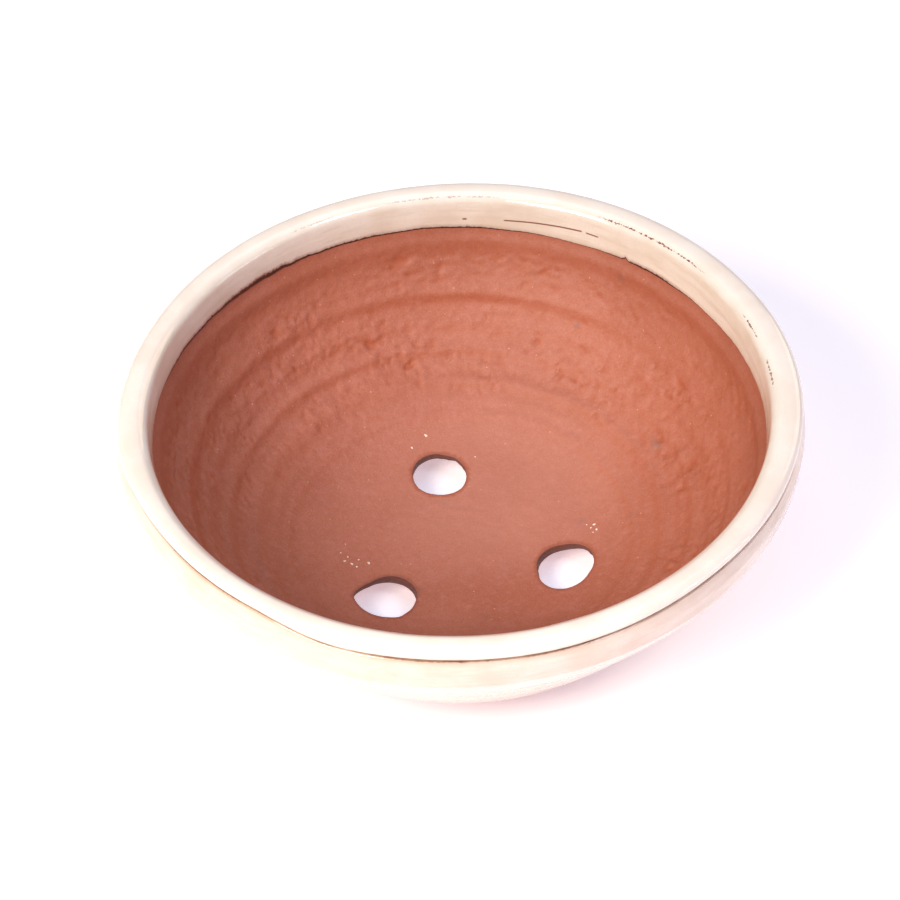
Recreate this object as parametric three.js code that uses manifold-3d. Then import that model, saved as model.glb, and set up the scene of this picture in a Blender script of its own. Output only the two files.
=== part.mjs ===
// A wheel-thrown round bonsai pot: a thick-lipped terracotta bowl with three drain holes,
// two coats of cream glaze that part along a sharp edge under the lip, and three small
// lug feet. Millimetres, +Z up. The origin is on the pot's axis, on the surface it stands on.

import * as THREE from 'three';
import { mergeVertices } from 'three/addons/utils/BufferGeometryUtils.js';
import Module from 'manifold-3d';

const wasm = await Module();
wasm.setup();

// Driving dimensions.
const EDGE_RADIUS = 100;          // the sharp edge under the lip, where the glaze breaks
const EDGE_HEIGHT = 68;
const LIP_HEIGHT = 71.6;          // top of the clay lip
const LIP_INSIDE_RADIUS = 93.8;   // the lip's inner corner
const BELLY_RADIUS = 100.4;
const FOOT_HEIGHT = 5;            // from the surface up to the underside of the bowl
const UNDERSIDE_RADIUS = 57;
const FLOOR_HEIGHT = 9.3;         // top of the floor on the axis, where it is thinnest
const INSIDE_GLAZE_END = { radius: 92.4, height: 61 };

const GLAZE_THICKNESS = 0.7;
const FACE_GAP = 0.3;             // kept between pieces that touch
const EDGE_BARE = 0.5;            // the glaze stops this far above and below the sharp edge
const EDGE_RELIEF = 0.35;         // how far the sharp edge stands out of the clay beside it

const HOLE_COUNT = 3;
const HOLE_RADIUS = 8.8;
const HOLE_CIRCLE_RADIUS = 32.4;
const FIRST_HOLE_ANGLE = THREE.MathUtils.degToRad(101.5);
const HOLE_TILT = THREE.MathUtils.degToRad(7.5);  // square to the floor's slope there
const HOLE_STRAIGHT_DEPTH = 2.2;  // below this the hole opens out at 45 degrees
const HOLE_TOP_HEIGHT = 10.7;     // the floor's surface at the hole's centre

const FOOT_CIRCLE_RADIUS = 48.5;
const FOOT_WIDTH = 10.5;          // across the lug, along the pot's radius
const FOOT_HALF_SPAN = THREE.MathUtils.degToRad(13);
const FOOT_BEVEL = 0.9;

// Fineness of the faceted surfaces.
const RADIAL_SEGMENTS = 64;
const INSIDE_STEPS = 13;
const LIP_STEPS = 12;
const OUTSIDE_STEPS = 11;
const HOLE_SEGMENTS = 28;
const FOOT_CURVE_SEGMENTS = 5;
const FOOT_BEVEL_SEGMENTS = 2;
const MERGE_DISTANCE = 1e-4;

const TERRACOTTA = { color: 0xb4684a, roughness: 0.85, metalness: 0 };
const CREAM_GLAZE = { color: 0xf3e6cf, roughness: 0.2, metalness: 0 };

// A smooth stretch of outline through [radius, height] points.
function smoothOutline(points, steps) {
  const vectors = points.map(([radius, height]) => new THREE.Vector2(radius, height));
  return new THREE.SplineCurve(vectors).getPoints(steps);
}

// The bowl's clay outline, in three stretches, with the air on the right of the direction
// of travel: up the outside, over the lip and down to the end of the inside glaze, then
// down the bare inside to the axis.
const outsideOutline = smoothOutline([
  [60.5, 7.6],
  [66.1, 13.2],
  [77.7, 27.4],
  [87.3, 40.4],
  [95.4, 51.2],
  [99.2, 56.6],
  [BELLY_RADIUS, 62],
  [EDGE_RADIUS - EDGE_RELIEF, EDGE_HEIGHT - EDGE_BARE],
], OUTSIDE_STEPS);

const lipOutline = smoothOutline([
  [EDGE_RADIUS - EDGE_RELIEF, EDGE_HEIGHT + EDGE_BARE],
  [100.1, 70.2],
  [98.9, LIP_HEIGHT - 0.3],
  [96.8, LIP_HEIGHT],
  [95.2, LIP_HEIGHT - 0.2],
  [94.2, LIP_HEIGHT - 0.8],
  [LIP_INSIDE_RADIUS, LIP_HEIGHT - 2],
  [93.2, 66],
  [INSIDE_GLAZE_END.radius, INSIDE_GLAZE_END.height],
], LIP_STEPS);

const insideOutline = smoothOutline([
  [INSIDE_GLAZE_END.radius, INSIDE_GLAZE_END.height],
  [88.6, 51],
  [81.6, 39.5],
  [70.6, 27],
  [58.4, 19.5],
  [45, 13.2],
  [HOLE_CIRCLE_RADIUS, HOLE_TOP_HEIGHT],
  [16, 9.6],
  [0, FLOOR_HEIGHT],
], INSIDE_STEPS);

// Moves an outline out of the clay, into the air, by an even distance.
function offsetOutline(points, distance) {
  return points.map((point, index) => {
    const before = points[Math.max(index - 1, 0)];
    const after = points[Math.min(index + 1, points.length - 1)];
    const arriving = point.clone().sub(before).normalize();
    const leaving = after.clone().sub(point).normalize();
    const along = arriving.clone().add(leaving).normalize();
    const outward = new THREE.Vector2(along.y, -along.x);
    const turn = Math.max(along.dot(arriving), along.dot(leaving));
    return point.clone().addScaledVector(outward, distance / turn);
  });
}

// Turns an outline about the pot's axis. The turned surface's shared vertices are merged and
// the slivers on the axis are dropped, so what is left is one closed surface.
function turnedGeometry(outline, segments = RADIAL_SEGMENTS) {
  const turned = new THREE.LatheGeometry(outline, segments);
  turned.rotateX(Math.PI / 2);
  return closedGeometry(turned);
}

function closedGeometry(source) {
  const bare = source.clone();
  bare.deleteAttribute('normal');
  bare.deleteAttribute('uv');
  const merged = mergeVertices(bare, MERGE_DISTANCE);
  const corners = merged.index.array;
  const kept = [];
  for (let i = 0; i < corners.length; i += 3) {
    const [a, b, c] = corners.slice(i, i + 3);
    if (a !== b && b !== c && c !== a) {
      kept.push(a, b, c);
    }
  }
  merged.setIndex(kept);
  return merged;
}

function solidFrom(geometry) {
  const mesh = new wasm.Mesh({
    numProp: 3,
    vertProperties: new Float32Array(geometry.attributes.position.array),
    triVerts: new Uint32Array(geometry.index.array),
  });
  return new wasm.Manifold(mesh);
}

function geometryFrom(solid) {
  const mesh = solid.getMesh();
  const geometry = new THREE.BufferGeometry();
  geometry.setAttribute('position', new THREE.BufferAttribute(mesh.vertProperties, 3));
  geometry.setIndex(new THREE.BufferAttribute(mesh.triVerts, 1));
  geometry.computeVertexNormals();
  return geometry;
}

function ceramicMesh(name, geometry, finish) {
  const mesh = new THREE.Mesh(geometry, new THREE.MeshStandardMaterial(finish));
  mesh.name = name;
  return mesh;
}

// The thrown bowl, with its drain holes cut through the floor.
function clayBowl() {
  const outline = [
    new THREE.Vector2(0, FOOT_HEIGHT),
    new THREE.Vector2(UNDERSIDE_RADIUS, FOOT_HEIGHT),
    ...outsideOutline,
    new THREE.Vector2(EDGE_RADIUS, EDGE_HEIGHT),
    ...lipOutline,
    ...insideOutline.slice(1),
  ];
  let bowl = solidFrom(turnedGeometry(outline));
  for (let hole = 0; hole < HOLE_COUNT; hole += 1) {
    bowl = bowl.subtract(solidFrom(drainHole(hole)));
  }
  return ceramicMesh('clay_bowl', geometryFrom(bowl), TERRACOTTA);
}

// The space of one drain hole: a straight bore through the floor's skin, opening out below
// like a countersink. It is turned about its own axis, then tilted and set in its place.
function drainHole(index) {
  const above = FOOT_HEIGHT;
  const below = HOLE_TOP_HEIGHT;  // well past the underside
  const mouthRadius = HOLE_RADIUS + below - HOLE_STRAIGHT_DEPTH;
  const cutter = turnedGeometry([
    new THREE.Vector2(0, -below),
    new THREE.Vector2(mouthRadius, -below),
    new THREE.Vector2(HOLE_RADIUS, -HOLE_STRAIGHT_DEPTH),
    new THREE.Vector2(HOLE_RADIUS, above),
    new THREE.Vector2(0, above),
  ], HOLE_SEGMENTS);
  cutter.rotateY(-HOLE_TILT);
  cutter.translate(HOLE_CIRCLE_RADIUS, 0, HOLE_TOP_HEIGHT);
  cutter.rotateZ(FIRST_HOLE_ANGLE + (index * 2 * Math.PI) / HOLE_COUNT);
  return cutter;
}

// A coat of glaze: an even skin over one stretch of the clay outline.
function glazeCoat(name, outline) {
  const face = offsetOutline(outline, FACE_GAP + GLAZE_THICKNESS);
  const back = offsetOutline(outline, FACE_GAP).reverse();
  const skin = turnedGeometry([...face, ...back, face[0]]);
  return ceramicMesh(name, skin, CREAM_GLAZE);
}

// A lug foot: a short curved bar with round ends, between two drain holes, its sole on z = 0.
function lugFoot(index) {
  const inner = FOOT_CIRCLE_RADIUS - FOOT_WIDTH / 2;
  const outer = FOOT_CIRCLE_RADIUS + FOOT_WIDTH / 2;
  const bar = new THREE.Shape();
  bar.absarc(0, 0, outer, -FOOT_HALF_SPAN, FOOT_HALF_SPAN, false);
  addRoundEnd(bar, FOOT_HALF_SPAN, 0);
  bar.absarc(0, 0, inner, FOOT_HALF_SPAN, -FOOT_HALF_SPAN, true);
  addRoundEnd(bar, -FOOT_HALF_SPAN, Math.PI);

  const height = FOOT_HEIGHT - FACE_GAP;
  const foot = new THREE.ExtrudeGeometry(bar, {
    depth: height - 2 * FOOT_BEVEL,
    curveSegments: FOOT_CURVE_SEGMENTS,
    bevelThickness: FOOT_BEVEL,
    bevelSize: FOOT_BEVEL,
    bevelOffset: -FOOT_BEVEL,
    bevelSegments: FOOT_BEVEL_SEGMENTS,
  });
  foot.translate(0, 0, FOOT_BEVEL);

  const mesh = ceramicMesh(`foot_${index + 1}`, closedGeometry(foot), TERRACOTTA);
  const halfway = Math.PI / HOLE_COUNT;
  mesh.rotation.z = FIRST_HOLE_ANGLE - halfway + (index * 2 * Math.PI) / HOLE_COUNT;
  return mesh;
}

function addRoundEnd(shape, angle, turn) {
  const x = FOOT_CIRCLE_RADIUS * Math.cos(angle);
  const y = FOOT_CIRCLE_RADIUS * Math.sin(angle);
  shape.absarc(x, y, FOOT_WIDTH / 2, angle + turn, angle + turn + Math.PI, false);
}

const group = new THREE.Group();
group.add(clayBowl());
group.add(glazeCoat('rim_glaze', lipOutline));
group.add(glazeCoat('wall_glaze', outsideOutline));
for (let foot = 0; foot < HOLE_COUNT; foot += 1) {
  group.add(lugFoot(foot));
}

export default group;
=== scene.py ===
"""Looks for a wheel-thrown bonsai pot: a bare terracotta bowl, two coats of cream glaze and
three luted lug feet. Lengths below are millimetres until they are made into meshes; +Z is up
and the origin is on the pot's axis, on the surface that it stands on."""

import math

import bpy
import numpy as np
from mathutils import Matrix, Vector
from mathutils.geometry import delaunay_2d_cdt


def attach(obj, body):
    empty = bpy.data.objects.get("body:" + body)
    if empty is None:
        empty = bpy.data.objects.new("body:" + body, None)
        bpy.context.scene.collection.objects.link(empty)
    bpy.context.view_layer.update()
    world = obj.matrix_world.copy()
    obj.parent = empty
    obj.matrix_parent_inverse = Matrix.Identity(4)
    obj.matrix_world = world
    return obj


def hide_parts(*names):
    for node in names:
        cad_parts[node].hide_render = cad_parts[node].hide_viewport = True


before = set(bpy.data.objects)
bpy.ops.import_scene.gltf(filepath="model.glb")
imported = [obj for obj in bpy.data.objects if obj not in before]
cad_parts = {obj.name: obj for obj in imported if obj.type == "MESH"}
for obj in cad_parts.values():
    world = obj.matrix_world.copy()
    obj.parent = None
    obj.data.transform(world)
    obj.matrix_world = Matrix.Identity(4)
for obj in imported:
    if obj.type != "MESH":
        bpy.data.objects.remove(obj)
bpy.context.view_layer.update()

MM = 0.001
TURN = 2 * math.pi

# ---------------------------------------------------------------- driving dimensions
EDGE_RADIUS = 100.0
EDGE_HEIGHT = 68.0
LIP_HEIGHT = 71.6
FOOT_HEIGHT = 5.0
UNDERSIDE_RADIUS = 57.0
FLOOR_HEIGHT = 9.3
GLAZE_END = (92.4, 61.0)
GLAZE_FACE = 1.0      # how far the coats' faces, their ends and their backs stand off the clay
GLAZE_THINNEST = 0.05
GLAZE_BACK = 0.02
EDGE_BARE = 0.32
EDGE_RELIEF = 0.2
EDGE_PROUD = 0.45
EDGE_PULL = 4.5

OUTSIDE = [(60.5, 7.6), (66.1, 13.2), (77.7, 27.4), (87.3, 40.4), (95.4, 51.2), (99.2, 56.6),
           (100.4, 62.0), (EDGE_RADIUS - EDGE_RELIEF, EDGE_HEIGHT - EDGE_BARE)]
LIP = [(EDGE_RADIUS - EDGE_RELIEF, EDGE_HEIGHT + EDGE_BARE), (100.1, 70.2), (98.9, 71.3),
       (96.8, LIP_HEIGHT), (95.2, 71.4), (94.2, 70.8), (93.8, 69.6), (93.2, 66.0), GLAZE_END]
INSIDE = [GLAZE_END, (88.6, 51.0), (81.6, 39.5), (70.6, 27.0), (58.4, 19.5), (45.0, 13.2),
          (32.4, 10.7), (16.0, 9.6), (0.0, FLOOR_HEIGHT)]

# Throwing rings on the inside: how far the crest lies below the glaze, its height, how far
# the wall takes to drop back below it, and how much it fades (or swells) at the right.
RINGS = [(4.6, 0.6, 5.6, -0.7), (21.8, 0.95, 3.8, 0.9), (31.5, 0.3, 4.0, 0.5),
         (39.4, 0.75, 3.8, 0.6), (44.5, 0.25, 2.6, 0.0), (49.6, 0.75, 5.0, 0.0),
         (56.5, 0.25, 3.0, 0.0), (60.6, 0.45, 2.4, 0.0)]
RING_LEAN = 0.9
RING_LOWEST = math.radians(25)
RINGS_FADE = 28
FLASHING = (3, 26)  # the clay is darker under the glaze, and pales between these distances

# The sharp edge's rise: where in degrees its plateau begins, is full, starts to end and is
# over, and how high it is, then smaller bumps as azimuth, spread and height.
EDGE_PLATEAU = (176, 206, 232, 249)
EDGE_PLATEAU_RISE = 2.7
EDGE_BUMPS = [(314, 12, 0.75), (284, 8, -0.3)]
RISE_UP = 0.65  # the shares of the rise that go up and inwards
RISE_IN = 0.35
# Where the rim bulges out of round, as azimuth, spread and distance, and the radii and
# heights over which a bulge grows to its full size.
RIM_BULGES = [(8, 34, 1.9), (58, 32, 1.0), (187, 17, 1.3), (120, 40, 0.3)]
BULGE_RADII = (94, 99.5)
BULGE_HEIGHTS = (36, 60)

# The floor's painted tone: the middle of its palest place, partly dust and partly a painted sheen,
# and of its darkest place at the front, a painted shadow of the near wall, and their sizes.
DUSTY_SHEEN_PLACE = (12, 18, 46)
NEAR_SHADE_PLACE = (13, -58, 40)

# Drain holes: azimuth and distance of the centre, on which side and by what share the wall is
# deeper than it is all round, then the outline as direction and radius.
HOLES = [
    ((102.2, 31.5), (150, 0.55),
     [(0, 8.35), (40, 8.3), (56, 8.4), (75, 8.0), (100, 8.45), (140, 8.8), (180, 8.45),
      (220, 8.4), (255, 7.95), (285, 8.05), (320, 8.6)]),
    ((221.2, 31.3), (25, 0.5),
     [(5, 8.9), (30, 9.1), (60, 9.3), (85, 8.9), (112, 8.0), (135, 7.7), (160, 8.8),
      (180, 10.5), (205, 10.1), (245, 9.7), (270, 9.4), (291, 9.8), (305, 9.1), (345, 8.6)]),
    ((341.0, 32.9), (155, 0.5),
     [(8, 9.0), (38, 9.9), (60, 10.2), (90, 9.5), (116, 9.6), (150, 9.2), (190, 8.3),
      (210, 9.1), (245, 9.8), (270, 9.7), (300, 8.9), (330, 8.2)]),
]
# Finger ridges on the outside: how far below the sharp edge, and how high.
WALL_RIDGES = [(4.0, 0.16), (9.0, 0.25), (19.0, 0.22), (31.0, 0.26), (44.0, 0.2), (57.0, 0.22)]

# How far the lip's inner arris lies above the end of the lip's outline, and the mark that
# the outer coat carries instead of such a height.
ARRIS = 10.4
OUTER_MARK = 22.0

HOLE_TILT = math.radians(7.5)
HOLE_STRAIGHT = 1.9
HOLE_ROUND = 0.35
HOLE_COLUMNS = 90

# How dark the sharp edge is and how strong the line along a coat's ragged end is (partly the glaze's
# dark edge, partly a painted shadow under it), and where the edge and the inner coat's line differ
# from that: azimuth, spread and strength.
DARK_EDGE_MEAN = 0.32
DARK_EDGE_BUMPS = [(221, 20, 0.42), (267, 14, 0.5), (293, 9, 0.28), (330, 14, -0.15)]
LINE_LEAST = 0.3
LINE_BUMPS = [(47, 9, 0.6), (90, 12, 0.4), (110, 9, 0.4), (131, 11, 1.25), (153, 14, 0.7),
              (300, 45, 0.45)]

# Crumbs of dried slip on the floor: azimuth, distance from the axis and half width.
CRUMBS = [(110.3, 43.9, 0.3), (103.2, 46.8, 0.42), (82.9, 38.0, 0.2),
          (7.6, 41.2, 0.4), (6.2, 40.0, 0.28), (4.4, 41.6, 0.36), (3.2, 40.4, 0.22), (8.6, 39.0, 0.2),
          (191.6, 35.2, 0.4), (194.0, 34.0, 0.3), (189.4, 37.2, 0.34), (192.4, 30.0, 0.42),
          (186.6, 36.0, 0.25), (189.0, 32.8, 0.24), (184.0, 38.0, 0.2), (178.0, 36.5, 0.18)]

FOOT_CIRCLE = 48.5
FOOT_WIDTH = 10.5
FOOT_HALF_SPAN = math.radians(13)
FIRST_FOOT = 41.5
FOOT_STATIONS = 40

# Fineness of the meshes.
COLUMNS = 840
FLOOR_EDGE_ROW = 65.0
INSIDE_ROWS = [(-0.9, 6.5, 8), (7, 46, 56), (46.8, FLOOR_EDGE_ROW, 19)]
FLOOR_SPACING = 1.2
UNDERSIDE_SPACING = 3.0


# ---------------------------------------------------------------- outlines and noise
class Outline:
    """A smooth curve through [radius, height] points, measured by its length in mm.
    The air is on the right of the direction of travel."""

    def __init__(self, points, per_span=30):
        held = np.array([points[0], *points, points[-1]], float)
        t = np.linspace(0, 1, per_span, endpoint=False)[:, None]
        spans = []
        for before, a, b, after in zip(held, held[1:], held[2:], held[3:]):
            leave = (b - before) / 2
            arrive = (after - a) / 2
            spans.append(a + leave * t + (3 * (b - a) - 2 * leave - arrive) * t**2
                         + (2 * (a - b) + leave + arrive) * t**3)
        self.points = np.vstack([*spans, held[-1:]])
        steps = np.diff(self.points, axis=0)
        self.s = np.concatenate([[0], np.cumsum(np.hypot(*steps.T))])
        self.length = self.s[-1]

    def at(self, s):
        return np.interp(s, self.s, self.points[:, 0]), np.interp(s, self.s, self.points[:, 1])

    def normal(self, s):
        r1, z1 = self.at(np.clip(s - 0.4, 0, self.length))
        r2, z2 = self.at(np.clip(s + 0.4, 0, self.length))
        size = np.hypot(r2 - r1, z2 - z1)
        return (z2 - z1) / size, -(r2 - r1) / size

    def offset(self, s, distance):
        """Radius and height of the points that stand this far out of the curve."""
        r, z = self.at(s)
        nr, nz = self.normal(s)
        return r + nr * distance, z + nz * distance


def turned(r, z, theta):
    """Points in mm, from radius, height and angle round the pot."""
    r, z, theta = np.broadcast_arrays(r, z, theta)
    return np.stack([r * np.cos(theta), r * np.sin(theta), z], -1)


def smoothstep(x, low, high):
    t = np.clip((x - low) / (high - low), 0, 1)
    return t * t * (3 - 2 * t)


def bump_at(theta, azimuth, spread):
    """1 at an azimuth and fading to 0 round it, both in degrees."""
    away = np.degrees(np.angle(np.exp(1j * (theta - math.radians(azimuth)))))
    return np.exp(-((away / spread) ** 2))


def bumps(theta, table):
    """The sum of bumps listed as azimuth, spread and height."""
    return sum(height * bump_at(theta, azimuth, spread) for azimuth, spread, height in table)


def edge_rise(theta):
    """How far the sharp edge strays from its level, up and inwards, round the pot."""
    bearing = np.degrees(theta) % 360
    begin, full, leave, end = EDGE_PLATEAU
    plateau = smoothstep(bearing, begin, full) * (1 - smoothstep(bearing, leave, end))
    return EDGE_PLATEAU_RISE * plateau + bumps(theta, EDGE_BUMPS)


def strayed(points):
    """The points moved from the true turned shape to the pot's own: the rim is a little out
    of round on its outer side, and the sharp edge takes an uneven course."""
    r = np.hypot(points[:, 0], points[:, 1])
    z = points[:, 2]
    theta = np.arctan2(points[:, 1], points[:, 0])
    away = np.hypot(r - EDGE_RADIUS, z - EDGE_HEIGHT)
    pull = edge_rise(theta) * np.exp(-((away / EDGE_PULL) ** 2))
    bulge = bumps(theta, RIM_BULGES) * smoothstep(r, *BULGE_RADII) * smoothstep(z, *BULGE_HEIGHTS)
    grow = 1 + (bulge - RISE_IN * pull) / np.maximum(r, 1)
    return np.column_stack([points[:, 0] * grow, points[:, 1] * grow, z + RISE_UP * pull])


def wave(points, size, seed):
    """Smooth noise from about -1 to 1, with lumps of the given size in mm, the same each run."""
    draw = np.random.RandomState(seed)
    order = draw.permutation(256)
    slopes = draw.normal(size=(256, 3))
    slopes /= np.linalg.norm(slopes, axis=1)[:, None]
    p = points / size + 300.5
    cell = np.floor(p).astype(int)
    part = p - cell
    fade = part**3 * (part * (part * 6 - 15) + 10)
    total = np.zeros(p.shape[:-1])
    for corner in range(8):
        step = np.array([corner & 1, corner >> 1 & 1, corner >> 2])
        x, y, z = np.moveaxis(cell + step, -1, 0)
        key = order[(order[(order[x & 255] + y) & 255] + z) & 255]
        share = np.prod(np.where(step, fade, 1 - fade), -1)
        total += share * ((part - step) * slopes[key]).sum(-1)
    return total * 1.7


def around(theta, s, around_size, along_size, seed, slant=0.0):
    """Noise laid on the pot's wall, stretched round the pot or along the outline.
    A slant shears its lumps, so that they climb as they go round."""
    reach = 85.0
    stretch = along_size / around_size
    climb = slant * reach * np.angle(np.exp(1j * theta))
    p = turned(reach * stretch, s + climb, theta)
    return wave(p, along_size, seed)


# ---------------------------------------------------------------- the bare clay surface
def ring_course(number, theta):
    """Where a ring's crest runs, how high it stands and how wide its drop is."""
    crest, height, drop, fade = RINGS[number]
    sway = 0.8 * wave(turned(1.2, number * 7.0, theta), 1.0, 11)
    sway = sway + 0.35 * wave(turned(5.0, number * 7.0, theta), 1.0, 13)
    crest = crest + sway + RING_LEAN * np.cos(theta - RING_LOWEST)
    height = height * (1 + 0.4 * wave(turned(2.0, number * 9.0, theta), 1.0, 12))
    drop = drop * (1 + 0.6 * bump_at(theta, 180, 35))
    return crest, height * (1 - fade * bump_at(theta, RINGS_FADE, 36)), drop


def ring_relief(theta, s):
    """Height of the throwing rings: each swells slowly, then drops sharply below its crest."""
    relief = np.zeros(np.broadcast(theta, s).shape)
    begin = 1.5
    for number in range(len(RINGS)):
        crest, height, drop = ring_course(number, theta)
        rise = np.clip((s - begin) / (crest - begin), 0, 1) ** 2.4
        fall = 1 - smoothstep(s, crest - 0.5, crest + drop)
        relief += height * rise * fall
        begin = crest + 0.6 * drop
    return relief


def crumbly_relief(theta, s):
    """Dragged, lumpy skin, strongest in the bands between the rings."""
    band = smoothstep(s, 6, 11) * (1 - 0.8 * smoothstep(s, 42, 60))
    band = band * (1 - 0.5 * smoothstep(s, 19.5, 22) * (1 - smoothstep(s, 24, 26.5)))
    patch = np.clip(0.72 + 0.9 * around(theta, s, 30, 14, 21), 0.15, 1.35)
    right = np.exp(-((np.angle(np.exp(1j * (theta - 0.3))) / 0.55) ** 2))
    lumps = np.maximum(around(theta, s, 5.5, 3.2, 22), -0.15)
    small = around(theta, s, 2.6, 1.9, 23)
    pits = np.maximum(around(theta, s, 4.4, 2.6, 24) - 0.33, 0)
    path = around(theta, s, 5.5, 4.2, 25)
    where = smoothstep(around(theta, s, 6.5, 5.0, 26), 0.05, 0.3)
    creases = np.maximum(1 - np.abs(path) / 0.09, 0) * where
    cords = around(theta, s, 8.0, 2.4, 27, slant=0.45)
    left = bump_at(theta, 130, 24) * np.exp(-(((s - 30) / 6) ** 2))
    patch = np.maximum(patch, 0.85 * left)
    dragged = 0.38 * lumps + (0.2 + 0.12 * left) * small
    dragged = dragged - (0.85 + 0.4 * left) * pits - 0.46 * creases
    leather = 0.06 * around(theta, s, 1.9, 1.5, 28) + 0.05 * around(theta, s, 4.0, 3.0, 29)
    leather = leather * smoothstep(s, 1, 4)
    return band * patch * (dragged * (1 - 0.15 * right) + 0.3 * right * cords) + leather


def recess(theta, s):
    """Painted shade, from 0 to 1: how deep the skin is cut or the ring drops, where the clay is
    painted darker and redder.
    """
    shade = np.clip(-2.4 * crumbly_relief(theta, s), 0, 1)
    for number in range(len(RINGS)):
        crest, height, drop = ring_course(number, theta)
        shade = shade + 0.4 * height * np.exp(-(((s - crest - 0.5 * drop) / (0.45 * drop)) ** 2))
    return np.clip(shade, 0, 1)


def patch_at(points, place):
    """1 at a place on the floor and fading to 0 round it."""
    x, y, size = place
    return np.exp(-(np.hypot(points[:, 0] - x, points[:, 1] - y) / size) ** 2)


def dust(points):
    """How pale the floor is painted, from 0 to 1: most round the middle, partly dust and partly a
    painted sheen, least at the front, a painted shadow of the near wall.
    """
    dusty = 0.5 + 0.5 * patch_at(points, DUSTY_SHEEN_PLACE) - 0.5 * patch_at(points, NEAR_SHADE_PLACE)
    return np.clip(dusty, 0, 1)


def soft_relief(x, y):
    """The slow unevenness and faint finger lines of the floor and the foot of the wall."""
    flat = np.stack([x, y, 0 * x], -1)
    r = np.hypot(x, y)
    lines = np.stack([r, 0.15 * x, 0.15 * y], -1)
    return 0.16 * wave(flat, 16.0, 31) + 0.05 * wave(flat, 4.5, 32) + 0.05 * wave(lines, 2.4, 33)


inside = Outline(INSIDE)
lip = Outline(LIP)
outside = Outline(OUTSIDE)
over_lip = Outline(LIP + INSIDE[1:2])


def inside_surface(theta, s):
    """Points of the bare inner wall at a distance s below the glaze."""
    relief = ring_relief(theta, s) + crumbly_relief(theta, s)
    r, z = inside.offset(s, relief)
    p = turned(r, z, theta)
    p[..., 2] += soft_relief(p[..., 0], p[..., 1])
    return p


# The floor's height over its radius, from the same outline as the wall.
floor_r, floor_z = inside.points[::-1].T


def floor_level(x, y):
    r = np.hypot(x, y)
    theta = np.arctan2(y, x)
    s = np.interp(r, floor_r, inside.s[::-1])
    return np.interp(r, floor_r, floor_z) + ring_relief(theta, s) + soft_relief(x, y)


def crumb_points():
    """Plan points on and round each crumb, with its height above the floor and its mark."""
    found = []
    for azimuth, distance, size in CRUMBS:
        x = distance * math.cos(math.radians(azimuth))
        y = distance * math.sin(math.radians(azimuth))
        for share, count, high, mark in ((0, 1, 0.62, 1), (0.5, 6, 0.55, 1), (0.95, 9, 0.3, 1),
                                         (1.2, 11, 0.0, 0.0), (1.9, 12, 0.0, 0.0)):
            for k in range(count):
                turn = TURN * (k + 0.3 * share) / count
                uneven = 1 + 0.22 * math.sin(2 * turn + azimuth) + 0.12 * math.sin(3 * turn)
                wide = size * share * uneven
                place = (x + wide * math.cos(turn), y + wide * math.sin(turn))
                found.append((*place, high * size, mark))
    return np.array(found)


# ---------------------------------------------------------------- mesh building
class Shell:
    """Collects points and faces, then becomes one mesh object with its marks on the points."""

    def __init__(self):
        self.points = []
        self.count = 0
        self.faces = []
        self.marks = {}

    def add(self, points, **marks):
        points = np.asarray(points, float).reshape(-1, 3)
        start = self.count
        self.points.append(points)
        self.count += len(points)
        for name, value in marks.items():
            value = np.broadcast_to(value, len(points))
            self.marks.setdefault(name, []).append((start, value))
        return np.arange(start, self.count)

    def bridge(self, a, b):
        """Faces between two closed rings, of equal count or two to one."""
        a2 = np.roll(a, -1)
        b2 = np.roll(b, -1)
        if len(a) == len(b):
            self.faces += np.stack([a, a2, b2, b], -1).tolist()
        elif len(a) == 2 * len(b):
            self.faces += np.stack([a[::2], a[1::2], b], -1).tolist()
            self.faces += np.stack([a[1::2], a2[1::2], b2, b], -1).tolist()
        else:
            self.faces += np.stack([a, b2[::2], b[::2]], -1).tolist()
            self.faces += np.stack([a, a2, b2[1::2], b2[::2]], -1).tolist()

    def sew(self, rings):
        for a, b in zip(rings, rings[1:]):
            self.bridge(a, b)

    def object(self, name, material, slot, replaced):
        mesh = bpy.data.meshes.new(name)
        points = strayed(np.vstack(self.points))
        mesh.from_pydata((points * MM).tolist(), [], self.faces)
        for mark, parts in self.marks.items():
            values = np.zeros(len(points), np.float32)
            for start, value in parts:
                values[start:start + len(value)] = value
            mesh.attributes.new(mark, "FLOAT", "POINT").data.foreach_set("value", values)
        if signed_volume(mesh) < 0:
            mesh.flip_normals()
        mesh.shade_smooth()
        mesh.materials.append(material)
        piece = bpy.data.objects.new(name, mesh)
        bpy.context.scene.collection.objects.link(piece)
        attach(piece, "root")
        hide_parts(replaced)


def signed_volume(mesh):
    mesh.calc_loop_triangles()
    corners = np.zeros(len(mesh.loop_triangles) * 3, int)
    mesh.loop_triangles.foreach_get("vertices", corners)
    co = np.zeros(len(mesh.vertices) * 3)
    mesh.vertices.foreach_get("co", co)
    a, b, c = np.moveaxis(co.reshape(-1, 3)[corners.reshape(-1, 3)], 1, 0)
    return np.einsum("ij,ij->i", a, np.cross(b, c)).sum() / 6


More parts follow.
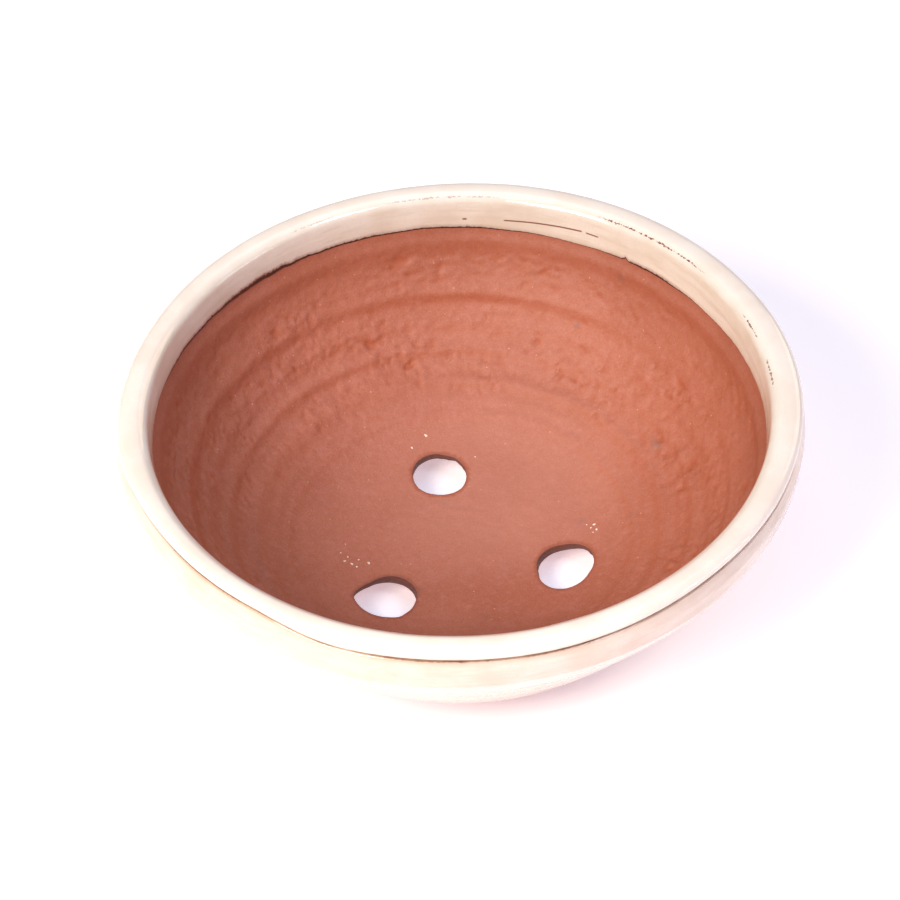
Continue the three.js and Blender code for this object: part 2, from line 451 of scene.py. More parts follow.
def pierced_disc(shell, border, loops, spacing, level, facing_up, inside_hole, extra=None):
    """Fills a round border, less the hole loops, with an even web of triangles.
    The extra points are plan places with a height above the level and a crumb mark."""
    points = np.vstack(shell.points)
    reach = np.hypot(*points[border[0], :2]) - 0.6 * spacing
    rows = np.arange(-reach, reach, spacing * math.sqrt(3) / 2)
    grid = [(x, y) for k, y in enumerate(rows)
            for x in np.arange(-reach + (k % 2) * spacing / 2, reach, spacing)]
    grid = np.array(grid)
    grid = grid[np.hypot(*grid.T) < reach]
    grid = grid[~inside_hole(grid[:, 0], grid[:, 1], 0.6 * spacing)]
    if extra is not None:
        gap = np.hypot(grid[:, None, 0] - extra[:, 0], grid[:, None, 1] - extra[:, 1]).min(1)
        grid = grid[gap > 0.5 * spacing]
        raised = level(extra[:, 0], extra[:, 1]) + extra[:, 2]
        lumps = np.column_stack([extra[:, :2], raised])
        lumps = shell.add(lumps, crumb=extra[:, 3], dust=dust(lumps))
    web = np.column_stack([grid, level(grid[:, 0], grid[:, 1])])
    web = shell.add(web, dust=dust(web))
    if extra is not None:
        web = np.concatenate([web, lumps])
    points = np.vstack(shell.points)
    rim = [border, *loops]
    ids = np.concatenate([*rim, web])
    edges = []
    start = 0
    for loop in rim:
        n = len(loop)
        edges += [(start + i, start + (i + 1) % n) for i in range(n)]
        start += n
    flat = [Vector(p) for p in points[ids, :2]]
    _, _, faces, origin, _, _ = delaunay_2d_cdt(flat, edges, [], 0, 1e-7, True)
    source = [o[0] for o in origin]
    starts = np.cumsum([0] + [len(loop) for loop in rim])
    for face in faces:
        # A face between three points of one loop is inside it if they turn left, and only
        # the border's inside and the holes' outsides are filled.
        a, b, c = sorted(source[i] for i in face)
        loop = np.searchsorted(starts, a, side="right") - 1
        if loop < len(rim) and c < starts[loop + 1]:
            turns_left = (flat[b] - flat[a]).cross(flat[c] - flat[a]) > 0
            if turns_left == (loop > 0):
                continue
        corner = [ids[source[i]] for i in face]
        shell.faces.append(corner if facing_up else corner[::-1])


# ---------------------------------------------------------------- drain holes
class DrainHole:
    """One hole: a tilted frame in the floor and an uneven outline in it."""

    def __init__(self, centre, deeper, knots):
        azimuth, distance = math.radians(centre[0]), centre[1]
        outward = np.array([math.cos(azimuth), math.sin(azimuth), 0])
        self.sideways = np.array([-outward[1], outward[0], 0])
        self.outward = outward * math.cos(HOLE_TILT) + np.array([0, 0, math.sin(HOLE_TILT)])
        self.down = np.array([0, 0, -math.cos(HOLE_TILT)]) + outward * math.sin(HOLE_TILT)
        self.azimuth = azimuth
        self.deep_side, self.deeper = math.radians(deeper[0]), deeper[1]
        self.centre = outward * distance
        self.centre[2] = floor_level(*self.centre[:2])
        angles = np.arange(0, 360, 1.0)
        bearing, radius = np.array(knots, float).T
        sharp = np.interp(angles, bearing, radius, period=360)
        weights = np.exp(-(np.arange(-20, 21) / 6.0) ** 2)
        soft = np.convolve(np.tile(sharp, 3), weights / weights.sum(), "same")[360:720]
        self.angles, self.radii = angles, soft

    def radius(self, bearing):
        return np.interp(np.degrees(bearing) % 360, self.angles, self.radii, period=360)

    def ring(self, count, widen, depth):
        """Points round the hole, at a depth along it that is uneven below the rounded edge."""
        bearing = np.linspace(0, TURN, count, endpoint=False)
        uneven = max(depth - HOLE_ROUND, 0) * self.deeper * np.cos(bearing - self.deep_side)
        depth = np.full(count, depth) + uneven
        turn = bearing - self.azimuth
        way = np.cos(turn)[:, None] * self.outward + np.sin(turn)[:, None] * self.sideways
        size = self.radius(bearing) + widen
        return self.centre + way * size[:, None] + self.down * depth[:, None], way

    def covers(self, x, y, margin):
        """Whether a plan point is inside the hole's rounded edge, widened by the margin."""
        dx = x - self.centre[0]
        dy = y - self.centre[1]
        bearing = np.arctan2(dy, dx)
        return np.hypot(dx, dy) < (self.radius(bearing) + HOLE_ROUND + margin) * 0.995


holes = [DrainHole(*hole) for hole in HOLES]


def hole_rings(shell, hole):
    """The hole's wall: a rounded upper edge, a short straight wall and a countersink below."""
    top, _ = hole.ring(HOLE_COLUMNS, HOLE_ROUND, 0)
    level = floor_level(top[:, 0], top[:, 1])
    lift = level - top[:, 2]
    rings = []
    for turn in np.radians([0, 18, 36, 54, 72, 90]):
        widen = HOLE_ROUND * (1 - math.sin(turn))
        p, _ = hole.ring(HOLE_COLUMNS, widen, HOLE_ROUND * (1 - math.cos(turn)))
        p[:, 2] += lift
        rings.append(p)
    for depth in (1.5, HOLE_STRAIGHT):
        p, _ = hole.ring(HOLE_COLUMNS, 0, depth)
        p[:, 2] += lift * (1 - depth / (2 * HOLE_STRAIGHT))
        p += 0.12 * wave(p, 1.8, 41)[:, None]
        rings.append(p)
    p, way = hole.ring(HOLE_COLUMNS, 0, HOLE_STRAIGHT)
    slope = (way + hole.down) / math.sqrt(2)
    fall = (p[:, 2] - FOOT_HEIGHT) / -slope[:, 2]
    for share in (0.15, 0.5, 0.85, 0.97):
        rings.append(p + slope * (fall * share)[:, None])
    last = p + slope * fall[:, None]
    last += way * [[0.35, 0.35, 0]]
    last[:, 2] = FOOT_HEIGHT
    rings.append(last)
    # Painted shade: each hole's wall is marked to be painted darker further down.
    return [shell.add(ring, hole_wall=smoothstep(k, 1, 5)) for k, ring in enumerate(rings)]


# ---------------------------------------------------------------- pieces
def clay_bowl(material):
    shell = Shell()
    loops = [hole_rings(shell, hole) for hole in holes]

    # Up the outside, coarse where the glaze covers it.
    coarse = np.linspace(0, TURN, COLUMNS // 4, endpoint=False)
    middle = np.linspace(0, TURN, COLUMNS // 2, endpoint=False)
    fine = np.linspace(0, TURN, COLUMNS, endpoint=False)
    rings = []
    corner = [(UNDERSIDE_RADIUS, FOOT_HEIGHT), (UNDERSIDE_RADIUS + 1.2, FOOT_HEIGHT + 0.35),
              (UNDERSIDE_RADIUS + 2.3, FOOT_HEIGHT + 1.2)]
    for r, z in corner:
        rings.append(shell.add(turned(r, z, coarse)))
    for s in np.linspace(0, outside.length - 4, 22):
        r, z = outside.at(s)
        rings.append(shell.add(turned(r, z, coarse)))

    def burnt_ring(r, z):
        rings.append(shell.add(turned(r, z, middle), burnt=1.0, dark_edge=dark_edge(middle)))

    # The sharp edge, left bare between the two coats.
    ring = turned(EDGE_RADIUS, EDGE_HEIGHT, middle)
    chip = 0.07 * wave(ring, 2.6, 51) + 0.06 * wave(ring, 9.0, 52)
    for s in (outside.length - 2, outside.length - 0.8, outside.length):
        burnt_ring(*outside.at(s))
    for rise in (-0.2, -0.08, 0.0, 0.08, 0.2):
        out = (EDGE_RELIEF + EDGE_PROUD) * (1 - abs(rise) / EDGE_BARE) ** 0.8
        burnt_ring(EDGE_RADIUS - EDGE_RELIEF + out + chip, EDGE_HEIGHT + rise)
    for s in (0, 0.8):
        burnt_ring(*lip.at(s))
    for s in np.linspace(2, lip.length - 2.5, 12):
        r, z = lip.at(s)
        rings.append(shell.add(turned(r, z, middle)))

    # Down the bare inside, from just under the glaze's lower edge.
    for low, high, count in INSIDE_ROWS:
        for s in np.linspace(low, high, count):
            if s < 0:
                r, z = lip.at(lip.length + s)
                p = turned(r, z, fine)
            else:
                p = inside_surface(fine, s)
            flashed = 1 - smoothstep(s, *FLASHING)
            rings.append(shell.add(p, recess=recess(fine, s), flashed=flashed, dust=dust(p)))
    p = inside_surface(middle, FLOOR_EDGE_ROW + 0.9)
    p[:, 2] = floor_level(p[:, 0], p[:, 1])
    rings.append(shell.add(p, dust=dust(p)))
    shell.sew(rings)

    def over_hole(x, y, margin):
        return np.any([hole.covers(x, y, margin) for hole in holes], 0)

    pierced_disc(shell, rings[-1], [rows[0] for rows in loops], FLOOR_SPACING, floor_level, True,
                 over_hole, crumb_points())
    for rows in loops:
        shell.sew(rows)

    below = [np.vstack(shell.points)[rows[-1]] for rows in loops]

    def over_countersink(x, y, margin):
        inside_any = np.zeros(np.shape(x), bool)
        for loop in below:
            centre = loop[:, :2].mean(0)
            bearing = np.arctan2(loop[:, 1] - centre[1], loop[:, 0] - centre[0])
            size = np.hypot(*(loop[:, :2] - centre).T)
            dx, dy = x - centre[0], y - centre[1]
            limit = np.interp(np.arctan2(dy, dx), bearing, size, period=TURN)
            inside_any |= np.hypot(dx, dy) < (limit + margin) * 0.997
        return inside_any

    def flat(x, y):
        return FOOT_HEIGHT + 0 * x

    pierced_disc(shell, rings[0], [rows[-1] for rows in loops], UNDERSIDE_SPACING, flat, False,
                 over_countersink)
    shell.object("bare_bowl", material, "bare_clay", "clay_bowl")


def glaze_coat(name, material, replaced, outline, start, stop, rows, columns, relief, marks,
               edge_profile):
    """A coat over one stretch of an outline. start and stop are distances along it for each
    column; the coat thins to a rolled edge at both, and lies on the clay everywhere."""
    shell = Shell()
    theta = np.linspace(0, TURN, columns, endpoint=False)
    begin, end = start(theta), stop(theta)
    # Rows crowd towards both ends, where the edges roll over.
    share = 0.5 - 0.5 * np.cos(np.linspace(0, math.pi, rows))
    share = 0.5 * share + 0.5 * np.linspace(0, 1, rows)
    face = []
    for t in share:
        s = begin + (end - begin) * t
        roll = edge_profile(s - begin, end - s)
        out = GLAZE_THINNEST + (GLAZE_FACE - GLAZE_THINNEST + relief(theta, s)) * roll
        r, z = outline.offset(s, out)
        face.append(shell.add(turned(r, z, theta), **marks(theta, s, s - begin, end - s)))
    back = []
    for t in np.linspace(1, 0, max(rows // 3, 8)):
        s = begin + (end - begin) * t
        r, z = outline.offset(s, GLAZE_BACK)
        back.append(shell.add(turned(r, z, theta), **marks(theta, s, s - begin, end - s)))
    shell.sew([*face, *back, face[0]])
    shell.object(name, material, "cream_glaze", replaced)


def rolled(distance, reach):
    """A quarter-round profile: 0 at the edge of the glaze, 1 past its rolled edge."""
    t = np.clip(distance / reach, 0, 1)
    return np.sqrt(1 - (1 - t) ** 2)


def wedge(distance, length=3.5):
    """The coat's lower end on the inner wall: a thin rounded edge that thickens slowly."""
    t = np.clip(distance / length, 0, 1)
    return rolled(distance, 0.35) * (0.3 + 0.7 * t * (2 - t))


def thinning(distance):
    """The coat draws thin towards the sharp edge, where molten glaze runs away from it."""
    return 0.55 + 0.45 * smoothstep(distance, -0.5, 4.5)


def rim_glaze(material):
    """The coat over the lip, down to its ragged end on the inner wall."""
    arris = lip.length - ARRIS

    def start(theta):
        ring = turned(EDGE_RADIUS, 0, theta)
        drawn_back = 0.25 * bump_at(theta, 264, 9) + 0.1 * bump_at(theta, 300, 20)
        return 0.06 + 0.05 * wave(ring, 3.4, 61) + 0.05 * wave(ring, 28.0, 63) + drawn_back

    def stop(theta):
        ring = turned(EDGE_RADIUS, 0, theta)
        jag = 0.12 + 0.2 * bump_at(theta, 128, 13) + 0.15 * bump_at(theta, 300, 50)
        jag = jag * (wave(ring, 4.5, 64) + 0.5 * wave(ring, 1.6, 65)) + 0.3 * wave(ring, 14.0, 66)
        nick = 0.9 * bump_at(theta, 54, 0.45)
        return lip.length + 0.2 + 1.45 * bump_at(theta, 42, 48) + jag - nick

    def relief(theta, s):
        p = turned(EDGE_RADIUS, s, theta)
        thinned = -0.38 * np.exp(-(((s - arris) / 0.9) ** 2))
        return thinned + 0.09 * wave(p, 24.0, 67) + 0.03 * wave(p, 7.0, 68)

    def marks(theta, s, from_start, from_stop):
        return {"from_edge": from_start, "from_end": from_stop, "above_end": lip.length - s,
                "line": LINE_LEAST + bumps(theta, LINE_BUMPS), "dark_edge": dark_edge(theta)}

    def edge_profile(from_start, from_stop):
        return np.minimum(rolled(from_start, 0.4), wedge(from_stop)) * thinning(from_start)

    glaze_coat("lip_glaze", material, "rim_glaze", over_lip, start, stop, 52, COLUMNS, relief,
               marks, edge_profile)


def dark_edge(theta):
    """How dark the glaze breaks along the sharp edge: most at the front, least at the left."""
    ring = turned(EDGE_RADIUS, 0, theta)
    uneven = 0.3 * wave(ring, 9.0, 69) + 0.25 * wave(ring, 2.5, 70)
    return np.clip(DARK_EDGE_MEAN + bumps(theta, DARK_EDGE_BUMPS) + uneven, 0.05, 1)


def wall_glaze(material):
    """The coat down the outside, with the finger lines showing through it."""
    def start(theta):
        ring = turned(60, 0, theta)
        return 1.2 + 0.9 * wave(ring, 14.0, 71) + 0.4 * wave(ring, 5.0, 72)

    def stop(theta):
        ring = turned(EDGE_RADIUS, 0, theta)
        return outside.length - 0.06 + 0.05 * wave(ring, 3.2, 73) - 0.1 * bump_at(theta, 264, 9)

    def relief(theta, s):
        p = turned(EDGE_RADIUS, s, theta)
        ridges = 0
        for below, height in WALL_RIDGES:
            centre = outside.length - below + 0.7 * wave(turned(1.5, below, theta), 1.0, 78)
            ridges = ridges + height * np.exp(-(((s - centre) / 1.5) ** 2))
        lines = np.stack([s + 0 * theta, 6 * np.cos(theta), 6 * np.sin(theta)], -1)
        finger_lines = 0.10 * wave(lines, 4.6, 75) + 0.05 * wave(lines, 2.1, 76)
        return ridges + finger_lines + 0.08 * wave(p, 18.0, 77)

    def marks(theta, s, from_start, from_stop):
        return {"from_edge": from_stop, "from_end": from_start, "above_end": OUTER_MARK,
                "line": LINE_LEAST, "dark_edge": dark_edge(theta)}

    def edge_profile(from_start, from_stop):
        return np.minimum(rolled(from_start, 1.3), rolled(from_stop, 0.4)) * thinning(from_stop)

    glaze_coat("outer_glaze", material, "wall_glaze", outside, start, stop, 96, COLUMNS // 2,
               relief, marks, edge_profile)


def lug_foot(number, material):
    """A luted lug: worn sole, slightly pinched sides and a slip fillet under the bowl."""
    shell = Shell()
    middle = math.radians(FIRST_FOOT + 120 * number)
    swing = np.linspace(-math.pi / 2, math.pi / 2, FOOT_STATIONS)

    def ring(widen, z):
        half = FOOT_WIDTH / 2 + widen
        end = half / FOOT_CIRCLE
        along = np.sin(swing)
        a = along * (FOOT_HALF_SPAN + end)
        past = np.clip((np.abs(a) - FOOT_HALF_SPAN) / end, 0, 1)
        width = half * np.sqrt(1 - past**2)
        outer = turned(FOOT_CIRCLE + width, z, middle + a)
        inner = turned(FOOT_CIRCLE - width, z, middle + a)[::-1]
        return np.vstack([outer, inner[1:-1]])

    profile = [(-4.2, 0.0), (-2.0, 0.0), (-1.1, 0.02), (-0.7, 0.15), (-0.35, 0.45), (-0.12, 1.0),
               (-0.1, 1.8), (-0.25, 2.7), (-0.3, 3.5), (-0.1, 4.1), (0.35, 4.55), (0.9, 4.85),
               (1.3, 4.98), (-2.0, 4.98), (-4.2, 4.98)]
    rings = []
    for widen, z in profile:
        p = ring(widen, z)
        side = smoothstep(z, 0.1, 0.8) * (1 - smoothstep(z, 4.3, 4.9))
        uneven = 0.22 * side * wave(p, 5.0, 81 + number) + 0.10 * side * wave(p, 2.0, 84)
        p += uneven[:, None] * [1, 1, 0]
        rings.append(shell.add(p))
    shell.sew(rings)
    for cap, order in ((rings[0], 1), (rings[-1], -1)):
        n = len(cap)
        for i in range(n // 2):
            a, b = cap[i], cap[i + 1]
            c, d = cap[(n - i - 1) % n], cap[(n - i) % n]
            face = list(dict.fromkeys([a, d, c, b]))
            if len(face) > 2:
                shell.faces.append(face[::order])
    shell.object(f"lug_foot_{number + 1}", material, "foot_clay", f"foot_{number + 1}")


# ---------------------------------------------------------------- materials
class Paint:
    """A material with its Principled shader and short ways to add nodes."""

    def __init__(self, name):
        self.material = bpy.data.materials.new(name)
        self.material.use_nodes = True
        self.tree = self.material.node_tree
        self.shader = self.tree.nodes["Principled BSDF"]
        self.place = self.node("ShaderNodeTexCoord").outputs["Object"]

    def node(self, kind, **settings):
        made = self.tree.nodes.new(kind)
        for key, value in settings.items():
            setattr(made, key, value)
        return made

    def link(self, value, socket):
        if isinstance(value, bpy.types.NodeSocket):
            self.tree.links.new(value, socket)
        else:
            socket.default_value = value

    def noise(self, size, detail=3.0, rough=0.55, stretch=None):
        """Noise from 0 to 1 with lumps of about the given size in mm."""
        made = self.node("ShaderNodeTexNoise")
        made.inputs["Scale"].default_value = 1 / (size * MM)
        made.inputs["Detail"].default_value = detail
        made.inputs["Roughness"].default_value = rough
        source = self.place
        if stretch:
            mapping = self.node("ShaderNodeMapping")
            mapping.inputs["Scale"].default_value = stretch
            self.link(source, mapping.inputs["Vector"])
            source = mapping.outputs["Vector"]
        self.link(source, made.inputs["Vector"])
        return made.outputs["Fac"]

    def cells(self, size):
        """Distance to the middle of the nearest cell, with cells of about the given size in mm."""
        made = self.node("ShaderNodeTexVoronoi")
        made.inputs["Scale"].default_value = 1 / (size * MM)
        self.link(self.place, made.inputs["Vector"])
        return made.outputs["Distance"]

    def mark(self, name):
        return self.node("ShaderNodeAttribute", attribute_name=name).outputs["Fac"]

    def height(self):
        """Height over the table, in metres."""
        parts = self.node("ShaderNodeSeparateXYZ")
        self.link(self.place, parts.inputs["Vector"])
        return parts.outputs["Z"]

    def azimuth(self):
        """Angle round the pot's axis, from -pi to pi."""
        parts = self.node("ShaderNodeSeparateXYZ")
        self.link(self.place, parts.inputs["Vector"])
        return self.math("ARCTAN2", parts.outputs["Y"], parts.outputs["X"])

    def math(self, operation, a, b=0.0, c=0.0):
        made = self.node("ShaderNodeMath", operation=operation)
        for value, socket in zip((a, b, c), made.inputs):
            self.link(value, socket)
        return made.outputs[0]

    def range(self, value, low, high, to_low=0.0, to_high=1.0):
        made = self.node("ShaderNodeMapRange", interpolation_type="SMOOTHSTEP")
        self.link(value, made.inputs["Value"])
        made.inputs["From Min"].default_value = low
        made.inputs["From Max"].default_value = high
        made.inputs["To Min"].default_value = to_low
        made.inputs["To Max"].default_value = to_high
        return made.outputs["Result"]

    def blend(self, factor, a, b, way="MIX"):
        made = self.node("ShaderNodeMix", data_type="RGBA", blend_type=way)
        self.link(factor, made.inputs["Factor"])
        self.link(a, made.inputs["A"])
        self.link(b, made.inputs["B"])
        return made.outputs["Result"]

    def bump(self, height, depth, before=None):
        """Bump whose height of 1 stands for the given depth in mm."""
        made = self.node("ShaderNodeBump")
        made.inputs["Strength"].default_value = 1.0
        made.inputs["Distance"].default_value = depth * MM
        self.link(height, made.inputs["Height"])
        if before is not None:
            self.link(before, made.inputs["Normal"])
        return made.outputs["Normal"]


def colour(red, green, blue):
    """A linear colour from the usual 0 to 255 display values."""
    values = np.array([red, green, blue]) / 255
    linear = np.where(values < 0.04045, values / 12.92, ((values + 0.055) / 1.055) ** 2.4)
    return (*linear.tolist(), 1.0)


TERRACOTTA = colour(178, 106, 82)
TERRACOTTA_DEEP = colour(164, 92, 68)
TERRACOTTA_PALE = colour(192, 128, 106)
CLAY_GRAIN = colour(222, 172, 150)
TERRACOTTA_PINK = colour(190, 120, 104)
CLAY_ORANGE = colour(164, 82, 48)
CLAY_SPECK = colour(108, 62, 48)
HOLE_SHADE_BROWN = colour(92, 52, 42)
CLAY_DUST_SHEEN = colour(196, 140, 122)
CLAY_DARKER = colour(146, 82, 62)
CLAY_SMUDGE = colour(128, 98, 90)
CRUMB_WHITE = colour(238, 222, 210)
BURNT_GLAZE = colour(116, 74, 54)
THIN_GLAZE = colour(204, 176, 154)
CREAM = colour(247, 240, 230)
CREAM_WARM = colour(241, 226, 213)
CREAM_DEEP = colour(232, 226, 216)
CREAM_SHADE = colour(215, 203, 186)
CREAM_WALL = colour(232, 215, 203)
CREAM_WALL_SHADE = colour(217, 194, 177)
CREAM_LOW_SHADE = colour(203, 184, 163)
GLAZE_BROWN = colour(124, 70, 54)
GLAZE_END_LINE_AND_SHADOW = colour(66, 38, 36)


def clay_colour(paint):
    """Terracotta with slow mottling, fine grain, dark pores, pale grains and a few smudges."""
    slow = paint.range(paint.noise(30, 3), 0.35, 0.65, 0.0, 0.6)
    base = paint.blend(slow, TERRACOTTA, TERRACOTTA_DEEP)
    cloud = paint.range(paint.noise(7, 4, 0.65), 0.45, 0.8, 0.0, 0.5)
    base = paint.blend(cloud, base, TERRACOTTA_PINK)
    mottle = paint.noise(2.2, 3, 0.65)
    base = paint.blend(paint.range(mottle, 0.52, 0.75, 0.0, 0.6), base, TERRACOTTA_PINK)
    base = paint.blend(paint.range(mottle, 0.25, 0.48, 0.45, 0.0), base, CLAY_ORANGE)
    grain = paint.noise(0.55, 2, 0.75)
    base = paint.blend(paint.range(grain, 0.5, 0.72, 0.0, 0.6), base, TERRACOTTA_DEEP)
    base = paint.blend(paint.range(grain, 0.28, 0.5, 0.55, 0.0), base, TERRACOTTA_PALE)
    pores = paint.range(paint.cells(3.1), 0.04, 0.09, 0.6, 0.0)
    base = paint.blend(pores, base, CLAY_SPECK)
    grains = paint.range(paint.cells(4.3), 0.03, 0.075, 0.7, 0.0)
    base = paint.blend(grains, base, CLAY_GRAIN)
    smudge = paint.range(paint.noise(11, 2, 0.5), 0.70, 0.78, 0.0, 0.45)
    return paint.blend(smudge, base, CLAY_SMUDGE)


def clay_bump(paint):
    fine = paint.bump(paint.noise(0.7, 3, 0.65), 0.09)
    return paint.bump(paint.noise(2.4, 3, 0.6), 0.16, fine)


def bare_clay():
    paint = Paint("bare_terracotta")
    base = clay_colour(paint)
    # Paler round the middle of the floor, partly dust and partly a painted sheen, and darker at the
    # front, a painted shadow of the near wall.
    dust_sheen_shade_mark = paint.mark("dust")
    base = paint.blend(paint.range(dust_sheen_shade_mark, 0.5, 1.0, 0.0, 0.4), base, CLAY_DUST_SHEEN)
    base = paint.blend(paint.range(dust_sheen_shade_mark, 0.0, 0.5, 0.65, 0.0), base, CLAY_DARKER)
    base = paint.blend(paint.math("MULTIPLY", paint.mark("flashed"), 0.3), base, CLAY_DARKER)
    # Painted shade: darker, redder clay in the cut skin and below each ring's crest.
    recess_shading = paint.math("MULTIPLY", paint.mark("recess"), 0.7)
    base = paint.blend(recess_shading, base, CLAY_ORANGE)
    # Painted shade: the hole walls darken further down.
    base = paint.blend(paint.math("MULTIPLY", paint.mark("hole_wall"), 0.8), base, HOLE_SHADE_BROWN)
    base = paint.blend(paint.mark("crumb"), base, CRUMB_WHITE)
    edge = paint.mark("burnt")
    broken = paint.blend(paint.mark("dark_edge"), THIN_GLAZE, BURNT_GLAZE)
    base = paint.blend(edge, base, broken)
    paint.link(base, paint.shader.inputs["Base Color"])
    paint.link(paint.range(edge, 0.0, 1.0, 0.6, 0.3), paint.shader.inputs["Roughness"])
    paint.shader.inputs["Specular IOR Level"].default_value = 0.5
    paint.link(clay_bump(paint), paint.shader.inputs["Normal"])
    return paint.material


# Brown strokes where the lip's glaze runs thin: from and to azimuth in degrees, how far above
# the end of the lip's outline each begins and ends, and half its width.
STROKES = [(60.3, 62.9, 3.95, 4.15, 0.25), (63.8, 79.8, 4.25, 3.05, 0.27),
           (87.2, 88.0, 3.05, 3.05, 0.35)]
# Stretches of the lip's arris that show as brown dots: middle azimuth, half span, strength.
DOTTED = [(5, 4, 0.8), (18, 4, 0.9), (48, 14, 1.0), (92, 12, 0.45), (118, 5, 0.3)]


def cream_glaze():
    """Cream glaze, warmer where it is thin and brown where it breaks over an edge; painted shade
    darkens the outer wall low down and deepens the line at the ragged end.
    """
    paint = Paint("cream_glaze")
    above_end = paint.mark("above_end")
    azimuth = paint.azimuth()
    band = paint.range(above_end, ARRIS - 1.5, ARRIS + 1.5)
    light = paint.blend(band, CREAM_DEEP, CREAM)
    dark = paint.blend(band, CREAM_SHADE, CREAM_WARM)
    wall = paint.range(above_end, OUTER_MARK - 1.0, OUTER_MARK)
    light = paint.blend(wall, light, CREAM_WALL)
    dark = paint.blend(wall, dark, CREAM_WALL_SHADE)
    slow = paint.range(paint.noise(18, 3), 0.35, 0.7, 0.0, 0.7)
    base = paint.blend(slow, light, dark)
    # Painted shade: the outer coat is painted darker towards the bottom of the wall.
    low = paint.range(paint.height(), 40 * MM, 62 * MM, 0.75, 0.0)
    base = paint.blend(low, base, CREAM_LOW_SHADE)
    streaks = paint.noise(1.5, 3, 0.6, stretch=(0.12, 0.12, 1.0))
    base = paint.blend(paint.range(streaks, 0.42, 0.7, 0.0, 0.5), base, dark)
    granular = paint.range(paint.noise(0.6, 3, 0.7), 0.5, 0.75, 0.0, 0.5)
    base = paint.blend(granular, base, dark)

    # Along the sharp edge.
    from_edge = paint.mark("from_edge")
    dark_edge = paint.mark("dark_edge")
    ragged = paint.noise(1.2, 3, 0.7)
    warm = paint.range(from_edge, 0.0, 2.4, 0.75, 0.0)
    base = paint.blend(paint.math("MULTIPLY", warm, dark_edge), base, THIN_GLAZE)
    reach = paint.math("MULTIPLY_ADD", ragged, 1.2, -0.45)
    reach = paint.math("MULTIPLY", reach, dark_edge)
    edge_line = paint.range(paint.math("SUBTRACT", from_edge, reach), -0.15, 0.2, 0.85, 0.0)
    broken = paint.blend(dark_edge, THIN_GLAZE, BURNT_GLAZE)
    base = paint.blend(edge_line, base, broken)

    # Along the ragged end: a brown haze, and a dark line that is partly the glaze's dark edge and
    # partly a painted shadow under the end.
    line = paint.mark("line")
    reach = paint.math("MULTIPLY", line, paint.math("MULTIPLY_ADD", ragged, 1.5, 0.2))
    beyond = paint.math("SUBTRACT", paint.mark("from_end"), reach)
    haze = paint.math("MULTIPLY", paint.range(beyond, -0.1, 1.6, 0.6, 0.0), line)
    base = paint.blend(haze, base, GLAZE_BROWN)
    base = paint.blend(paint.range(beyond, -0.15, 0.3, 1.0, 0.0), base, GLAZE_END_LINE_AND_SHADOW)

    for begin, end, first, last, half in STROKES:
        middle = math.radians((begin + end) / 2)
        off = paint.math("SUBTRACT", azimuth, middle)
        slope = (last - first) / math.radians(end - begin)
        line = paint.math("MULTIPLY_ADD", off, slope, (first + last) / 2)
        beside = paint.math("ABSOLUTE", paint.math("SUBTRACT", above_end, line))
        across = paint.range(beside, half * 0.75, half * 1.3, 1.0, 0.0)
        span = math.radians(end - begin) / 2
        within = paint.range(paint.math("ABSOLUTE", off), span - 0.004, span + 0.004, 0.9, 0.0)
        base = paint.blend(paint.math("MULTIPLY", across, within), base, GLAZE_BROWN)

    # Dots along the arris.
    beside = paint.math("ABSOLUTE", paint.math("SUBTRACT", above_end, ARRIS))
    speckle = paint.math("MULTIPLY_ADD", paint.noise(0.9, 2, 0.7), 1.3, -0.60)
    near = paint.range(paint.math("SUBTRACT", beside, speckle), -0.05, 0.12, 1.0, 0.0)
    spans = 0.0
    for middle, half, strength in DOTTED:
        off = paint.math("ABSOLUTE", paint.math("SUBTRACT", azimuth, math.radians(middle)))
        part = paint.range(off, math.radians(half * 0.7), math.radians(half), strength, 0.0)
        spans = paint.math("MAXIMUM", spans, part)
    base = paint.blend(paint.math("MULTIPLY", near, spans), base, GLAZE_BROWN)

    paint.link(base, paint.shader.inputs["Base Color"])
    paint.shader.inputs["Roughness"].default_value = 0.08
    paint.shader.inputs["IOR"].default_value = 1.5
    paint.shader.inputs["Coat Weight"].default_value = 0.3
    paint.shader.inputs["Coat Roughness"].default_value = 0.05
    paint.link(paint.bump(paint.noise(4.0, 2), 0.05), paint.shader.inputs["Normal"])
    return paint.material


def foot_clay():
    paint = Paint("foot_terracotta")
    base = clay_colour(paint)
    worn = paint.range(paint.height(), 0.0, 0.6 * MM, 0.6, 0.0)
    base = paint.blend(worn, base, TERRACOTTA_PALE)
    paint.link(base, paint.shader.inputs["Base Color"])
    paint.shader.inputs["Roughness"].default_value = 0.8
    paint.link(clay_bump(paint), paint.shader.inputs["Normal"])
    return paint.material


# ---------------------------------------------------------------- floor, light and camera
def studio_floor():
    """A white table top, lit a little from within so that shadows on it stay pale."""
    bpy.ops.mesh.primitive_plane_add(size=8)
    floor = bpy.context.object
    floor.name = "studio_floor"
    paint = Paint("studio_white")
    paint.shader.inputs["Base Color"].default_value = (0.9, 0.9, 0.92, 1)
    paint.shader.inputs["Roughness"].default_value = 0.6
    paint.shader.inputs["Specular IOR Level"].default_value = 0.1
    paint.shader.inputs["Emission Color"].default_value = (1.0, 0.9, 1.0, 1)
    paint.shader.inputs["Emission Strength"].default_value = 0.42
    floor.data.materials.append(paint.material)


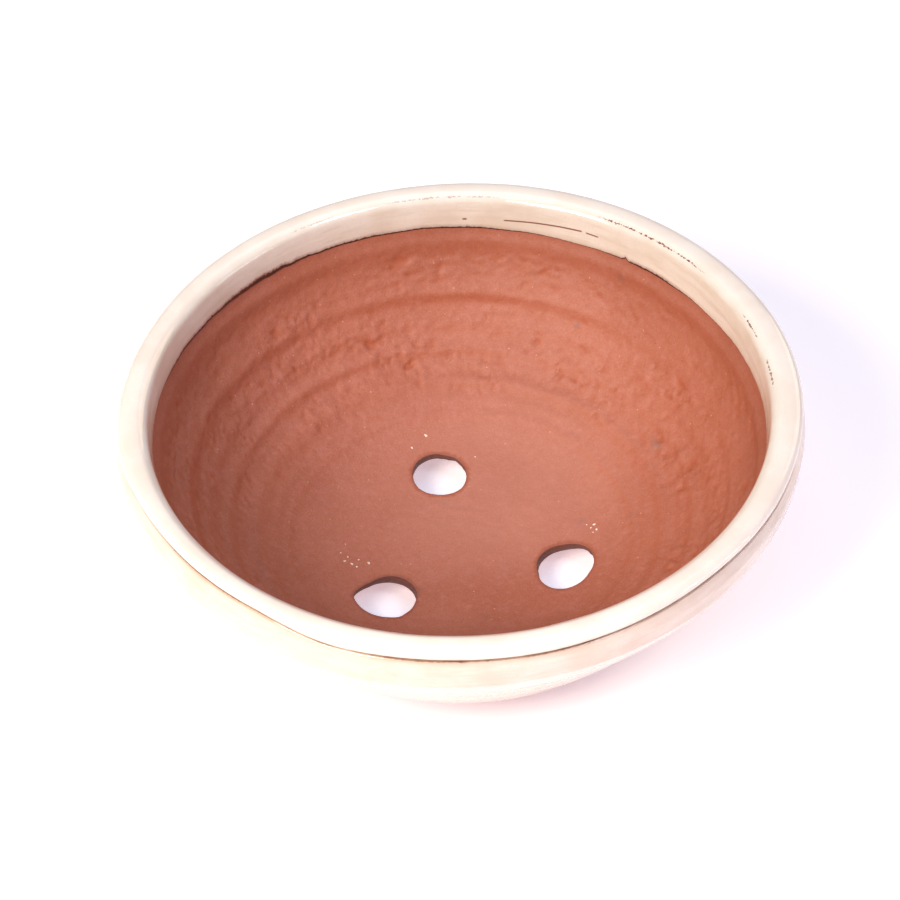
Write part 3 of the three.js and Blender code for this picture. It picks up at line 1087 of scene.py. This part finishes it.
def softbox(name, azimuth, elevation, distance, size, power, tint=(1, 1, 1)):
    """A rectangular light, aimed at the pot from the given bearing and height in degrees."""
    light = bpy.data.lights.new(name, "AREA")
    light.shape = "RECTANGLE"
    light.size, light.size_y = size
    light.energy = power
    light.color = tint
    lamp = bpy.data.objects.new(name, light)
    turn, rise = math.radians(azimuth), math.radians(elevation)
    way = Vector((math.cos(turn) * math.cos(rise), math.sin(turn) * math.cos(rise), math.sin(rise)))
    lamp.location = Vector((0, 0, EDGE_HEIGHT * MM)) + way * distance
    lamp.rotation_euler = way.to_track_quat("Z", "Y").to_euler()
    bpy.context.scene.collection.objects.link(lamp)


def studio_lights():
    softbox("key_left", 228, 40, 1.2, (0.55, 0.55), 17.6, (1.0, 0.87, 0.74))
    softbox("overhead", 0, 84, 1.3, (1.2, 1.2), 5.8, (0.55, 0.78, 1.0))
    softbox("fill_right", 317, 52, 1.2, (0.35, 0.35), 3.0, (0.95, 0.84, 1.0))
    softbox("back_right", 45, 25, 1.4, (0.8, 0.5), 3.0, (1.0, 0.75, 0.5))
    softbox("low_right", 345, 3.5, 1.3, (0.6, 0.12), 2.0, (1.0, 0.87, 0.97))
    world = bpy.data.worlds.new("studio_air")
    world.use_nodes = True
    world.node_tree.nodes["Background"].inputs["Color"].default_value = (0.98, 0.9, 1.0, 1)
    world.node_tree.nodes["Background"].inputs["Strength"].default_value = 0.14
    bpy.context.scene.world = world
    bpy.context.scene.view_settings.view_transform = "Standard"


CAMERA_ELEVATION = math.radians(44.0)
CAMERA_DISTANCE = 1.075
CAMERA_ROLL = math.radians(1.9)
LENS = 144.0
SENSOR = 36.0
RIGHT_OF_CENTRE = 0.0098
ABOVE_CENTRE = 0.0428


def camera():
    """Looks down at the pot from the front, with the pot a little above the middle."""
    data = bpy.data.cameras.new("camera")
    data.lens = LENS
    data.sensor_width = SENSOR
    data.clip_end = 20
    view = bpy.data.objects.new("camera", data)
    back = Vector((0, -math.cos(CAMERA_ELEVATION), math.sin(CAMERA_ELEVATION)))
    right = Vector((1, 0, 0))
    up = back.cross(right)
    cos, sin = math.cos(CAMERA_ROLL), math.sin(CAMERA_ROLL)
    rolled = Matrix((cos * right - sin * up, sin * right + cos * up, -back))
    reach = LENS / SENSOR
    seen = Vector((RIGHT_OF_CENTRE / reach, ABOVE_CENTRE / reach, 1)).normalized()
    aside = seen.rotation_difference(Vector((0, 0, 1))).to_matrix()
    axes = aside.transposed() @ rolled
    turn = Matrix((axes[0], axes[1], -axes[2])).transposed().to_4x4()
    place = Vector((0, 0, EDGE_HEIGHT * MM)) + back * CAMERA_DISTANCE
    view.matrix_world = Matrix.Translation(place) @ turn
    bpy.context.scene.collection.objects.link(view)
    bpy.context.scene.camera = view


# ---------------------------------------------------------------- the scene
clay_bowl(bare_clay())
cream = cream_glaze()
rim_glaze(cream)
wall_glaze(cream)
foot_material = foot_clay()
for number in range(3):
    lug_foot(number, foot_material)
studio_floor()
studio_lights()
camera()
